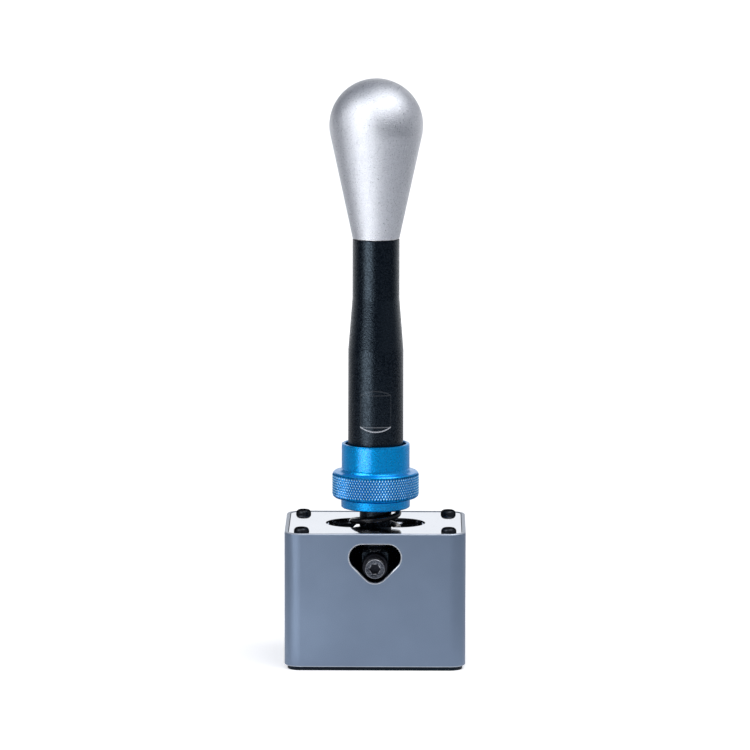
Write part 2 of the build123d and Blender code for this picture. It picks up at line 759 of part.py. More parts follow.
# End stops
def stop_block_x():
    """Middle of a stop block, sideways from the lever."""
    return foot_width / 2 + stop_block_gap + stop_block_width / 2


def stop_screw_places():
    """Where each stop block is screwed down."""
    return four_corners(stop_block_x(), stop_block_screw_y)


def stop_blocks():
    """Two blocks beside the foot that carry the stop screws."""
    body = block(stop_block_width, stop_block_depth, base_thickness, stop_block_top)
    body = chamfer(body.faces().sort_by(Axis.Z)[-1].edges(), edge_break)
    bore = Pos(0, 0, stop_height) * Rot(0, 90, 0) * disc(
        stop_thread + 2 * running_fit, -stop_block_width, stop_block_width)
    hole = disc(small_thread + 2 * running_fit, 0, stop_block_screw_length + screw_tip_room)
    for end in SIDES:
        body -= Pos(0, end * stop_block_screw_y, 0) * hole
    return [Pos(side * stop_block_x(), 0, 0) * (body - bore) for side in SIDES]


def stop_block_screws():
    """Countersunk screws from below into the stop blocks."""
    screw = Rot(180, 0, 0) * flat_screw(small_thread, small_head, small_socket,
                                        stop_block_screw_length)
    return [place * screw for place in stop_screw_places()]


def pad_face():
    """How far out a stop pad starts, so that the foot reaches it just past the tilt limit."""
    tilt = radians(tilt_limit)
    reach = stop_height + stop_thread / 2 - pivot_height
    return foot_width / 2 * cos(tilt) + reach * sin(tilt) + sliding_gap


def stop_screws():
    """Two grub screws that set the lever's throw."""
    start = pad_face() + pad_length
    end = start + stop_screw_length
    screw = disc(stop_thread, start, end) - hexagon(stop_socket, end - stop_socket, end + overrun)
    return front_and_rear([Pos(0, 0, stop_height) * Rot(0, 90, 0) * screw])


def bump_pads():
    """Rubber pads on the stop screws' tips."""
    pad = disc(stop_thread, pad_face(), pad_face() + pad_length)
    return front_and_rear([Pos(0, 0, stop_height) * Rot(0, 90, 0) * pad])


# Angle sensor
def sensor_magnet():
    """Round magnet in the pivot's rear end."""
    return Pos(0, 0, pivot_height) * REAR * disc(magnet_diameter, pivot_end - magnet_length, pivot_end)


def board_places():
    """The board's four screw places in the XZ plane."""
    return [Pos(x, 0, z)
            for x in (board_screw_inset - board_left, board_right - board_screw_inset)
            for z in (board_bottom + board_screw_inset, board_top - board_screw_inset)]


def sensor_board():
    """Circuit board that stands behind the pivot's end."""
    middle = Pos((board_right - board_left) / 2, board_back, (board_bottom + board_top) / 2)
    outline = Rectangle(board_left + board_right, board_top - board_bottom)
    board = middle * Rot(90, 0, 0) * extrude(outline, amount=board_thickness)
    board = chamfer(board.edges().filter_by(Axis.Y), overrun)
    hole = REAR * disc(board_screw_thread + 2 * running_fit, 0, housing_depth)
    for place in board_places():
        board -= place * hole
    return board


def board_chips():
    """The angle sensor facing the magnet, a processor and a regulator."""
    y = board_front - chip_thickness / 2
    sensor = Pos(0, y, pivot_height) * Box(sensor_chip_width, chip_thickness, sensor_chip_height)
    high = board_top - chip_drop
    processor = Pos(chip_x, y, high) * Box(main_chip_side, chip_thickness, main_chip_side)
    low = board_bottom + board_screw_inset
    regulator = Pos(chip_x / 2, y, low) * Box(regulator_width, chip_thickness, regulator_height)
    return [chamfer(chip.edges().filter_by(Axis.Y), edge_break / 2)
            for chip in (sensor, processor, regulator)]


def board_spacers():
    """Four spacers between the board and the rear wall."""
    spacer = REAR * ring(board_spacer_diameter, board_screw_thread + 2 * running_fit,
                         board_back, wall_face)
    return [place * spacer for place in board_places()]


def board_screws():
    """Four pan-head screws through the board into the rear wall."""
    head = disc(board_screw_head, 0, board_screw_head_height)
    head = chamfer(head.edges().filter_by(GeomType.CIRCLE).sort_by(Axis.Z)[-1], edge_break)
    screw = Rot(90, 0, 0) * (head + disc(board_screw_thread, -board_screw_length, 0))
    return [place * Pos(0, board_front, 0) * screw for place in board_places()]


def data_socket():
    """Small rounded metal socket that reaches through the rear wall, with its tongue inside."""
    length = housing_depth / 2 - socket_sink - board_back
    outside = RectangleRounded(socket_width, socket_height, socket_corner)
    inside = RectangleRounded(socket_width - 2 * socket_wall, socket_height - 2 * socket_wall,
                              socket_corner - socket_wall)
    shell = extrude(outside, amount=length)
    shell -= Pos(0, 0, socket_wall) * extrude(inside, amount=length)
    tongue = extrude(Rectangle(socket_width - 2 * socket_corner, 2 * socket_wall),
                     amount=length - socket_corner)
    return Pos(socket_x, board_back, board_bottom + socket_rise) * REAR * (shell + tongue)


def as_one(shape):
    """One writable shape from a piece or from a list of like pieces."""
    if isinstance(shape, list):
        return Compound(children=[solid for piece in shape for solid in piece.solids()])
    return shape


PIECES = {
    "housing": housing(),
    "base_plate": base_plate(),
    "base_screws": base_screws(),
    "top_plate": top_plate(),
    "top_plate_screws": top_plate_screws(),
    "rear_cam_plate": rear_cam_plate(),
    "front_cam_plate": FRONT_COPY * rear_cam_plate(),
    "cam_plate_screws": front_and_rear(cam_screws(0)),
    "pivot_bracket": pivot_bracket(),
    "bracket_screws": bracket_screws(),
    "pivot_bushes": pivot_bushes(),
    "pivot_shaft": pivot_shaft(),
    "pivot_circlips": pivot_circlips(),
    "lever_foot": lever_foot(),
    "foot_grub_screw": foot_grub_screw(),
    "lever_shaft": lever_shaft(),
    "grip_tube": grip_tube(),
    "knob_stud": knob_stud(),
    "knob": knob(),
    "follower_block": follower_block(),
    "follower_bush": follower_bush(),
    "rear_follower_screw": rear_follower_screw(),
    "front_follower_screw": FRONT_COPY * rear_follower_screw(),
    "rear_roller": rear_roller(),
    "front_roller": FRONT_COPY * rear_roller(),
    "rear_roller_core": rear_roller_core(),
    "front_roller_core": FRONT_COPY * rear_roller_core(),
    "roller_washers": roller_washers(),
    "spring_washer": spring_washer(),
    "coil_spring": coil_spring(),
    "spring_cup": spring_cup(),
    "thrust_washer": thrust_washer(),
    "adjuster_collar": adjuster_collar(),
    "stop_blocks": stop_blocks(),
    "stop_block_screws": stop_block_screws(),
    "stop_screws": stop_screws(),
    "bump_pads": bump_pads(),
    "sensor_magnet": sensor_magnet(),
    "sensor_board": sensor_board(),
    "board_chips": board_chips(),
    "board_spacers": board_spacers(),
    "board_screws": board_screws(),
    "data_socket": data_socket(),
}

os.makedirs("parts", exist_ok=True)
for name, shape in PIECES.items():
    export_step(as_one(shape), f"parts/{name}.step")
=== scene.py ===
from math import cos, pi, radians, sin
import bpy
import bmesh
from mathutils import Matrix, Vector


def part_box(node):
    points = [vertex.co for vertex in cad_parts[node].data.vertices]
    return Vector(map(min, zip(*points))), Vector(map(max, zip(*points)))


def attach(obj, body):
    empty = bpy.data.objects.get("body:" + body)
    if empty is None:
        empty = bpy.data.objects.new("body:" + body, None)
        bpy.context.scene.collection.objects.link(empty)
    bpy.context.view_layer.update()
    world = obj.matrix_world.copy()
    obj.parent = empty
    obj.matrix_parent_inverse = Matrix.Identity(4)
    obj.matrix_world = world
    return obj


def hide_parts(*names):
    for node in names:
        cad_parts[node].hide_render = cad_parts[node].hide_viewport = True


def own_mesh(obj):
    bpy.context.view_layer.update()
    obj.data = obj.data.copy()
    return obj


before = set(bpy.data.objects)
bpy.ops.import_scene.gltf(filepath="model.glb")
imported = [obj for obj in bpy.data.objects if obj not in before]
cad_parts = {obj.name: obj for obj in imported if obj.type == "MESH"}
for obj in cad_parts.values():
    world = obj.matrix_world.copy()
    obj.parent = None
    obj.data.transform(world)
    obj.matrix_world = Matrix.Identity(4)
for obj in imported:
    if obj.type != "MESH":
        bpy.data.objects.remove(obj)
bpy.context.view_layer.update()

# The camera: a long lens a little above the shifter, as in a shop's product picture.
# It stands far off, so the housing's sides stay nearly upright.
camera_place = (0.0194, -2.7670, 0.5425)
turned_left, looking_down, rolled_over = 0.410, 8.204, 0.111  # degrees
lens_data = bpy.data.cameras.new("camera")
lens_data.sensor_width = 36.0
lens_data.lens = 268.8
lens_data.clip_end = 60.0
camera = bpy.data.objects.new("camera", lens_data)
bpy.context.scene.collection.objects.link(camera)
camera.matrix_world = (Matrix.Translation(camera_place)
                       @ Matrix.Rotation(radians(turned_left), 4, "Z")
                       @ Matrix.Rotation(radians(90 - looking_down), 4, "X")
                       @ Matrix.Rotation(radians(rolled_over), 4, "Z"))
bpy.context.scene.camera = camera
bpy.context.scene.view_settings.view_transform = "Standard"


class Socket:
    """A socket in a material's tree. Sums and products of it add Math nodes."""

    def __init__(self, tree, end=None):
        self.tree = tree
        self.end = end

    def node(self, kind, settings, ends, take=0):
        """Adds a node, sets it up, fills its sockets and gives the wanted output."""
        other_tree = kind.startswith(("Geometry", "NodeGroup"))
        made = self.tree.nodes.new(kind if other_tree else "ShaderNode" + kind)
        for key, value in settings.items():
            setattr(made, key, value)
        for key, value in ends.items():
            socket = made.inputs[key] if isinstance(key, int) else next(
                end for end in made.inputs if end.enabled and key == end.name)
            fill(socket, value)
        if take is None:
            return None
        if isinstance(take, int):
            return Socket(self.tree, made.outputs[take])
        return Socket(self.tree, next(end for end in made.outputs
                                      if end.enabled and end.name == take))

    def maths(self, operation, left, right=0.0):
        """Adds a Math node on two numbers or outputs."""
        return self.node("Math", {"operation": operation}, {0: left, 1: right})

    def coordinate(self, axis):
        """The X, Y or Z of a vector."""
        return self.node("SeparateXYZ", {}, {"Vector": self}, axis)

    def __abs__(self):
        return self.maths("ABSOLUTE", self)

    def __add__(self, other):
        return self.maths("ADD", self, other)

    def __radd__(self, other):
        return self.maths("ADD", other, self)

    def __sub__(self, other):
        return self.maths("SUBTRACT", self, other)

    def __rsub__(self, other):
        return self.maths("SUBTRACT", other, self)

    def __mul__(self, other):
        return self.maths("MULTIPLY", self, other)

    def __rmul__(self, other):
        return self.maths("MULTIPLY", other, self)

    def __truediv__(self, other):
        return self.maths("DIVIDE", self, other)

    def __pow__(self, other):
        return self.maths("POWER", self, other)


def fill(socket, value):
    """Links a socket, or sets its own value."""
    if isinstance(value, Socket):
        value.tree.links.new(value.end, socket)
    elif isinstance(value, tuple) and len(value) < len(socket.default_value):
        socket.default_value = (*value, 1)
    else:
        socket.default_value = value


def diagonal(one, other):
    """Length of the long side of a right-angled triangle."""
    return (one ** 2.0 + other ** 2.0) ** 0.5


def blend_colours(mask, low, high):
    """From the low colour to the high one as the mask goes from 0 to 1."""
    ends = {"Factor": mask, "A": low, "B": high}
    return mask.node("Mix", {"data_type": "RGBA"}, ends, "Result")


def ramp_between(value, low, high):
    """0 below low, 1 above high and a soft step between."""
    return value.node("MapRange", {"interpolation_type": "SMOOTHSTEP"},
                      {"Value": value, "From Min": low, "From Max": high}, "Result")


def cloud(place, scale, detail=2.0, stretch=(1.0, 1.0, 1.0)):
    """Noise from 0 to 1, its grain about 1 / scale metres wide."""
    spread = place.node("VectorMath", {"operation": "MULTIPLY"}, {0: place, 1: stretch})
    return place.node("TexNoise", {}, {"Vector": spread, "Scale": scale, "Detail": detail}, "Fac")


def relief(height, depth):
    """A bump of that depth in metres."""
    ends = {"Strength": 1.0, "Distance": depth, "Height": height}
    return height.node("Bump", {}, ends, "Normal")


def new_finish(name):
    """A material, its shader, and the piece's own coordinates in metres."""
    paint = bpy.data.materials.new(name)
    paint.use_nodes = True
    shader = paint.node_tree.nodes["Principled BSDF"]
    place = Socket(paint.node_tree).node("TexCoord", {}, {}, "Object")
    return paint, shader, place


def lay(shader, **ends):
    """Sets the shader's sockets, named with underscores for spaces."""
    for key, value in ends.items():
        fill(shader.inputs[key.replace("_", " ")], value)


def dress(paint, *nodes):
    """Gives CAD pieces a finish."""
    for node in nodes:
        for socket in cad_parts[node].material_slots:
            socket.material = paint


# The studio: white paper under and behind the shifter, a key lamp on the left, a broad lamp
# overhead and a wide weak one on the right. The room beyond the paper is dim.
studio = bpy.data.worlds.new("studio")
studio.use_nodes = True
bpy.context.scene.world = studio
studio.node_tree.nodes.clear()
sky = Socket(studio.node_tree).node("TexCoord", {}, {}, "Generated")
aside = sky.coordinate("X")
ahead = sky.coordinate("Y")
above = sky.coordinate("Z")
room = blend_colours(ramp_between(aside, -0.2, 0.8), (0.15, 0.16, 0.19), (0.42, 0.43, 0.46))
room = blend_colours(ramp_between(above, 0.3, 0.95) * 0.6, room, (0.38, 0.40, 0.44))
room = blend_colours(ramp_between(ahead, 0.80, 0.98), room, (1.0, 1.0, 1.0))
seen = sky.node("LightPath", {}, {}, "Is Camera Ray")
light = sky.node("Background", {}, {"Color": blend_colours(seen, room, (1.0, 1.0, 1.0)),
                                    "Strength": 1.0})
fill(studio.node_tree.nodes.new("ShaderNodeOutputWorld").inputs["Surface"], light)


def lamp(name, place, size, power, mirrored=True, target=(0.0, 0.0, 0.13)):
    """A soft rectangular lamp that points at the shifter. Metal mirrors it or not."""
    data = bpy.data.lights.new(name, "AREA")
    data.shape = "RECTANGLE"
    data.size, data.size_y = size
    data.energy = power
    made = bpy.data.objects.new(name, data)
    bpy.context.scene.collection.objects.link(made)
    aim = (Vector(target) - Vector(place)).to_track_quat("-Z", "Y")
    made.matrix_world = Matrix.Translation(place) @ aim.to_matrix().to_4x4()
    made.visible_glossy = mirrored


lamp("key_lamp", (-0.70, -0.60, 0.88), (0.86, 0.60), 6.4, target=(0.0, 0.0, 0.25))
lamp("top_lamp", (0.42, -0.36, 1.24), (1.06, 0.66), 7.6)
lamp("right_lamp", (1.20, -0.50, 1.20), (1.40, 1.20), 2.2, mirrored=False)

paper, shader, place = new_finish("studio_paper")
paper.node_tree.nodes.remove(shader)
seen = place.node("LightPath", {}, {}, "Is Camera Ray")
glossed = place.node("LightPath", {}, {}, "Is Glossy Ray")
away = place.coordinate("Y")
sides = place.coordinate("X")
behind = ramp_between(away, 0.10, 1.20)
distance = diagonal(away, sides)
far = ramp_between(distance, 0.20, 1.60)
outside = ramp_between(distance, 0.42, 0.54)
# Painted shade: in reflections only, the paper beyond about half a metre is painted dark grey.
paper_colour_with_painted_shade = blend_colours(glossed * outside, (0.86, 0.86, 0.87), (0.16, 0.17, 0.19))
# Polished pieces mirror the paper, which glows for glossy rays only: a painted stripe of light on
# the key lamp's side, fading and growing with the distance, and a painted glow close to the
# shifter where no card stands. Both are painted reflections of light.
key_side, key_front = -0.62, -0.79
along = sides * key_side + away * key_front
across = sides * -key_front + away * key_side
band = abs(across) / along
painted_light_stripe = (1 - ramp_between(band, 0.10, 0.56)) * ramp_between(along, 0.05, 0.10)
painted_light_stripe = painted_light_stripe * (0.9 * (1 - ramp_between(distance, 0.20, 0.30))
                   + 5.5 * ramp_between(distance, 0.56, 0.62)
                   - 3.0 * ramp_between(distance, 0.76, 0.86)
                   + 2.5 * ramp_between(distance, 1.00, 1.20))
# Painted glow near the shifter, seen only in reflections; no card stands there.
painted_card_glow = ((1 - ramp_between(distance, 0.33, 0.42))
        * (1 - ramp_between(abs(sides + 0.04), 0.06, 0.16)))
white = place.node("BsdfDiffuse", {}, {"Color": paper_colour_with_painted_shade})
soft_glow = place.node("Emission", {}, {"Color": (1.0, 1.0, 1.0), "Strength": 0.45})
full_glow = place.node("Emission", {}, {"Color": (1.0, 1.0, 1.0), "Strength": 1.0})
glow = place.node("MixShader", {}, {0: far, 1: soft_glow, 2: full_glow})
# Painted light: the paper glows here for glossy rays only.
mirrored_glow = place.node("Emission", {}, {"Color": (1.0, 1.0, 1.0),
                                            "Strength": glossed * (painted_light_stripe + painted_card_glow * 0.35)})
added = place.node("MixShader", {}, {0: seen.maths("MAXIMUM", seen, glossed * behind),
                                     1: mirrored_glow, 2: glow})
fill(paper.node_tree.nodes["Material Output"].inputs["Surface"],
     place.node("AddShader", {}, {0: white, 1: added}))
floor_mesh = bpy.data.meshes.new("studio_floor")
reach = 14.0
floor_mesh.from_pydata([(-reach, -reach, 0), (reach, -reach, 0), (reach, reach, 0),
                        (-reach, reach, 0)], [], [(0, 1, 2, 3)])
floor_mesh.materials.append(paper)
floor = bpy.data.objects.new("studio_floor", floor_mesh)
bpy.context.scene.collection.objects.link(floor)

# The housing: a box section cut from aluminium, bead-blasted and anodised grey.
# Its top rim, its foot and the edges of its two windows are painted bright: bare metal from the
# last cut, and painted highlights on those edges.
housing_face = 0.035
housing_top = 0.069
housing_foot = 0.002
window_bottom_corner = 0.0508
window_spread = 0.0063
window_corner = 0.0065
cut_width = 0.0004
housing_paint, shader, place = new_finish("blasted_grey")
grain = cloud(place, 2400.0, 3.0)
patch = cloud(place, 55.0, 2.0)
body_colour = blend_colours(patch, (0.172, 0.226, 0.316), (0.204, 0.266, 0.368))
side = abs(place.coordinate("X"))
depth = abs(place.coordinate("Y"))
height = place.coordinate("Z")
up = height - window_bottom_corner
along = side.maths("MINIMUM", side.maths("MAXIMUM", (side + up) * 0.5, 0.0), window_spread)
to_slope = diagonal(side - along, up - along)
over = side.maths("MAXIMUM", side - window_spread, 0.0)
to_top = diagonal(over, up - window_spread)
from_window = side.maths("MINIMUM", to_slope, to_top) - window_corner
window_edge = ((1 - ramp_between(from_window, cut_width * 1.2, cut_width * 1.5))
               * ramp_between(depth, housing_face - cut_width * 1.2, housing_face - cut_width))
rim = ramp_between(height, housing_top - cut_width * 1.2, housing_top - cut_width)
foot = 0.4 * (1 - ramp_between(height, housing_foot + cut_width, housing_foot + cut_width * 1.2))
# Painted highlight: the window edges, the rim and the foot are painted near white, partly as bare
# cut metal.
bright = side.maths("MAXIMUM", side.maths("MAXIMUM", window_edge, rim * 0.4), foot)
lay(shader, Base_Color=blend_colours(bright, body_colour, (0.84, 0.88, 0.93)), Metallic=0.8,
    Roughness=0.33 + 0.12 * grain - 0.10 * window_edge, Normal=relief(grain, 0.00010))
dress(housing_paint, "housing")

# The base plate: aluminium, milled with a spigot that fills the housing's foot, and anodised
# black. Four flush screws hold it to the housing's corner posts from below.
base_paint, shader, place = new_finish("black_plate")
grain = cloud(place, 3000.0)
lay(shader, Base_Color=blend_colours(grain, (0.003, 0.006, 0.011), (0.006, 0.010, 0.016)),
    Metallic=0.0, Specular_IOR_Level=0.20, Specular_Tint=(0.60, 0.80, 1.0),
    Roughness=0.38 + 0.12 * grain, Normal=relief(grain, 0.00001))
dress(base_paint, "base_plate")

# The top plate: steel sheet, laser cut with a long slot for the lever and polished almost to a
# mirror. It lies let into the housing's rim, under four button-head screws.
plate_paint, shader, place = new_finish("polished_steel")
swirl = cloud(place, 900.0, 2.0, (1.0, 8.0, 1.0))
smear = cloud(place, 45.0, 3.0)
lay(shader, Base_Color=blend_colours(smear, (0.70, 0.75, 0.85), (0.76, 0.81, 0.91)), Metallic=1.0,
    Roughness=0.04 + 0.05 * smear, Normal=relief(swirl, 0.0000006))
dress(plate_paint, "top_plate")

# Screws, circlips and other small steel pieces have black oxide, lightly oiled.
# The top plate's four button-head screws are cold headed, with a hexagon socket.
oxide_paint, shader, place = new_finish("black_oxide")
grain = cloud(place, 1500.0, 3.0)
lay(shader, Base_Color=blend_colours(grain, (0.014, 0.016, 0.020), (0.052, 0.056, 0.064)),
    Metallic=1.0, Specular_Tint=(0.10, 0.11, 0.13), Roughness=0.26 + 0.18 * grain,
    Normal=relief(grain, 0.00005))
dress(oxide_paint, "base_screws", "bracket_screws", "pivot_circlips", "foot_grub_screw",
      "stop_block_screws", "stop_screws")


def hexagonal(half):
    """Radius at each angle of a hexagon, from half its width across the flats."""
    return lambda angle: half / cos(angle % (pi / 3) - pi / 6)


def turned(name, rows, around, loop=False):
    """Joins rings up the Z axis. A row is a radius, fixed or by angle, and a height."""
    form = bmesh.new()
    rings = []
    for radius, height in rows:
        if radius == 0:
            rings.append([form.verts.new((0, 0, height))])
            continue
        ring = []
        for step in range(around):
            angle = 2 * pi * step / around
            reach = radius(angle) if callable(radius) else radius
            ring.append(form.verts.new((reach * cos(angle), reach * sin(angle), height)))
        rings.append(ring)
    pairs = list(zip(rings, rings[1:])) + ([(rings[-1], rings[0])] if loop else [])
    for low, high in pairs:
        for step in range(around):
            after = (step + 1) % around
            corners = [low[step % len(low)], low[after % len(low)], high[after % len(high)],
                       high[step % len(high)]]
            form.faces.new(list(dict.fromkeys(corners)))
    bmesh.ops.recalc_face_normals(form, faces=form.faces)
    mesh = bpy.data.meshes.new(name)
    form.to_mesh(mesh)
    form.free()
    mesh.shade_smooth()
    mesh.set_sharp_from_angle(angle=radians(32))
    return mesh


def new_tree(name, inputs):
    """A geometry tree with its named inputs, and the geometry that goes in."""
    tree = bpy.data.node_groups.new(name, "GeometryNodeTree")
    tree.interface.new_socket(name="Geometry", in_out="INPUT", socket_type="NodeSocketGeometry")
    for key, kind in inputs.items():
        tree.interface.new_socket(name=key, in_out="INPUT", socket_type="NodeSocket" + kind)
    tree.interface.new_socket(name="Geometry", in_out="OUTPUT", socket_type="NodeSocketGeometry")
    entry = tree.nodes.new("NodeGroupInput")
    return tree, {end.name: Socket(tree, end) for end in entry.outputs if end.name}


def end_tree(shape, paint):
    """Ends a tree: real geometry, with its finish."""
    real = shape.node("GeometryNodeRealizeInstances", {}, {"Geometry": shape})
    dressed = shape.node("GeometryNodeSetMaterial", {}, {"Geometry": real, "Material": paint})
    shape.node("NodeGroupOutput", {}, {0: dressed}, None)


def grow(name, tree, values, start=None):
    """Runs a tree on a mesh and keeps the result as a plain mesh."""
    made = bpy.data.objects.new(name, start or bpy.data.meshes.new(name))
    bpy.context.scene.collection.objects.link(made)
    made_by = made.modifiers.new(tree.name, "NODES")
    made_by.node_group = tree
    for end in tree.interface.items_tree:
        if end.in_out == "INPUT" and end.name in values:
            made_by[end.identifier] = values[end.name]
    state = bpy.context.evaluated_depsgraph_get()
    plain = bpy.data.meshes.new_from_object(made.evaluated_get(state), depsgraph=state)
    made.modifiers.clear()
    made.data = plain
    return made


screw_tree, entry = new_tree("screws_at_points", {"Screw": "Object", "Turn": "Rotation",
                                                  "Finish": "Material"})
template = entry["Screw"].node("GeometryNodeObjectInfo", {}, {"Object": entry["Screw"]},
                               "Geometry")
placed = template.node("GeometryNodeInstanceOnPoints", {},
                       {"Points": entry["Geometry"], "Instance": template,
                        "Rotation": entry["Turn"]})
end_tree(placed, entry["Finish"])


def screws(name, shape, places, turn, paint):
    """One screw at each place, all turned alike."""
    points = bpy.data.meshes.new(name)
    points.from_pydata(places, [], [])
    pattern = bpy.data.objects.new(name + "_pattern", shape)
    bpy.context.scene.collection.objects.link(pattern)
    made = grow(name, screw_tree, {"Screw": pattern, "Turn": turn, "Finish": paint}, points)
    bpy.data.objects.remove(pattern)
    return made


button_thread = 0.0020
button_half = 0.0038
button_rise = 0.0022
button_flat = 0.0021
button_length = 0.0120
button_tip = 0.0017
button_bevel = 0.0003
button_socket = 0.00125
button_turn = (0.0, 0.0, 0.3)  # radians
low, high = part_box("top_plate_screws")
screw_x = high[0] - button_half
screw_y = high[1] - button_half
plate_top = high[2] - button_rise
dome = [(button_flat + (button_half - button_flat) * cos(radians(turn)),
         button_bevel + (button_rise - button_bevel) * sin(radians(turn)))
        for turn in range(0, 91, 9)]
button = turned("button_screw", [
    (0, -button_length), (button_tip, -button_length),
    (button_thread, button_bevel - button_length), (button_thread, 0), (button_half, 0), *dome,
    (hexagonal(button_socket), button_rise), (hexagonal(button_socket), button_rise / 2),
    (0, button_rise / 2)], 48)
corners = [(x, y, plate_top) for x in (-screw_x, screw_x) for y in (-screw_y, screw_y)]
button_screws = screws("button_screws", button, corners, button_turn, oxide_paint)
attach(button_screws, "root")
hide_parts("top_plate_screws")

# Cam plates and rollers: hardened steel. The cam plates and the rollers' cores are ground; the
# rollers' rings are painted near black as painted shade, for the shadow they lie in behind the
# windows. Screws hold a cam plate behind each window.
track_paint, shader, place = new_finish("ground_steel")
lines = cloud(place, 350.0, 3.0, (1.0, 1.0, 22.0))
lay(shader, Base_Color=blend_colours(lines, (0.20, 0.20, 0.21), (0.32, 0.32, 0.33)), Metallic=1.0,
    Roughness=0.28 + 0.14 * lines, Normal=relief(lines, 0.000004))
dress(track_paint, "front_cam_plate", "rear_cam_plate", "front_roller_core", "rear_roller_core")
# Painted shade: the rollers' rings are painted near black for the shadow inside the housing.
roller_paint, shader, place = new_finish("dark_roller_painted_shade")
grain = cloud(place, 900.0, 3.0)
lay(shader, Base_Color=blend_colours(grain, (0.012, 0.013, 0.017), (0.040, 0.042, 0.050)),
    Metallic=1.0, Specular_Tint=(0.20, 0.20, 0.24), Roughness=0.22 + 0.14 * grain,
    Normal=relief(grain, 0.00003))
dress(roller_paint, "front_roller", "rear_roller")

# The follower's two axle screws: M6 socket heads with a rolled rim, black and oiled.
# Each holds a roller on the yoke, and its head swings in the window.
head_half = 0.0050
head_rise = 0.0060
head_socket = 0.0025
head_base, head_face = 0.0047, 0.0046  # radii of the head's underside and of its flat face
socket_mouth = 0.0031
socket_low = 0.0030   # the socket's end and its drill point, above the head's underside
drill_point = 0.0027
wall_end, floor_start = 0.0022, 0.0027  # below the head's face
rim_low, rim_high = 0.0005, 0.0052      # the rolled teeth, above the head's underside
rim_bevel = 0.0002
axle_thread = 0.0030
axle_tip = 0.0026
axle_bevel = 0.0004
tooth = 0.00014
teeth = 48
low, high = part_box("front_follower_screw")
oiled_paint, shader, place = new_finish("worn_oxide_with_painted_light")
grain = cloud(place, 1900.0, 3.0)
across = place.coordinate("X")
upward = place.coordinate("Z") - (low[2] + high[2]) / 2
from_middle = diagonal(across, upward)
inward = -low[1] - abs(place.coordinate("Y"))
# Painted light: the socket's floor is painted dark as painted shade, its walls are painted bright
# as a painted glint, and the rim is painted lighter, for wear and as a painted highlight.
in_socket = 1 - ramp_between(from_middle, head_socket, head_socket + 0.0003)
deep = ramp_between(inward, wall_end, floor_start)
socket_floor_painted_shade = in_socket * deep
socket_wall_painted_glint = in_socket * (1 - deep)
rim_wear_and_painted_highlight = ramp_between(from_middle, head_half - 0.0005, head_half - 0.0004) * 0.7
wear_and_painted_light = blend_colours(ramp_between(grain, 0.40, 0.62), (0.018, 0.022, 0.030),
                     (0.160, 0.173, 0.205))
wear_and_painted_light = blend_colours(rim_wear_and_painted_highlight, wear_and_painted_light, (0.36, 0.37, 0.40))
wear_and_painted_light = blend_colours(socket_wall_painted_glint, wear_and_painted_light, (0.62, 0.63, 0.66))
lay(shader, Base_Color=blend_colours(socket_floor_painted_shade * 0.9, wear_and_painted_light, (0.012, 0.013, 0.018)),
    Metallic=1.0, Roughness=0.22 + 0.20 * grain, Normal=relief(grain, 0.00016))
for node, turn in (("front_follower_screw", (radians(90), 0.0, 0.0)),
                   ("rear_follower_screw", (radians(-90), 0.0, 0.0))):
    low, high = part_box(node)
    face = low[1] if node.startswith("front") else high[1]
    length = high[1] - low[1] - head_rise
    outward = -1 if node.startswith("front") else 1
    rolled = lambda angle: head_half - tooth * (0.5 - 0.5 * cos(teeth * angle))
    cap = turned(node, [
        (0, -length), (axle_tip, -length), (axle_thread, axle_bevel - length), (axle_thread, 0),
        (head_base, 0), (head_half - tooth, rim_low - rim_bevel), (rolled, rim_low),
        (rolled, rim_high), (head_half - tooth, rim_high + rim_bevel),
        (head_face + rim_bevel, head_rise - rim_bevel), (head_face, head_rise),
        (socket_mouth, head_rise), (hexagonal(head_socket), head_rise - rim_bevel),
        (hexagonal(head_socket), socket_low), (0, drill_point)], 2 * teeth)
    made = screws(node + "_cap", cap, [(0.0, face - outward * head_rise, (low[2] + high[2]) / 2)],
                  turn, oiled_paint)
    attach(made, "follower")
    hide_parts(node)

# Pivot, lever foot, washers, spacers, small screws and the socket's shell: steel, turned or
# stamped, with bright zinc on it. The pivot carries the foot, into which the shaft screws.
zinc_paint, shader, place = new_finish("bright_zinc")
bloom = cloud(place, 240.0, 4.0)
lay(shader, Base_Color=blend_colours(bloom, (0.60, 0.61, 0.63), (0.74, 0.75, 0.76)), Metallic=1.0,
    Roughness=0.20 + 0.14 * bloom, Normal=relief(bloom, 0.000006))
dress(zinc_paint, "cam_plate_screws", "pivot_shaft", "lever_foot", "knob_stud", "roller_washers",
      "spring_washer", "board_spacers", "board_screws", "data_socket")

# Bracket and stop blocks: aluminium as the mill leaves it, with its cutter's lines.
# Screws from below hold them on the base plate, a block on either side of the lever's foot.
milled_paint, shader, place = new_finish("milled_aluminium")
lines = cloud(place, 260.0, 2.0, (14.0, 1.0, 1.0))
lay(shader, Base_Color=blend_colours(lines, (0.56, 0.57, 0.59), (0.68, 0.69, 0.71)), Metallic=1.0,
    Roughness=0.30 + 0.12 * lines, Normal=relief(lines, 0.000005))
dress(milled_paint, "pivot_bracket", "stop_blocks")

# Plain bushes: sintered bronze, with open pores and a film of oil. Two with flanges sit in
# the bracket's cheeks for the pivot, and one in the yoke slides on the shaft.
bronze_paint, shader, place = new_finish("sintered_bronze")
pores = cloud(place, 2400.0, 2.0)
lay(shader, Base_Color=blend_colours(pores, (0.30, 0.18, 0.07), (0.50, 0.32, 0.14)), Metallic=0.9,
    Roughness=0.34 + 0.20 * pores, Normal=relief(pores, 0.00002))
dress(bronze_paint, "pivot_bushes", "follower_bush")

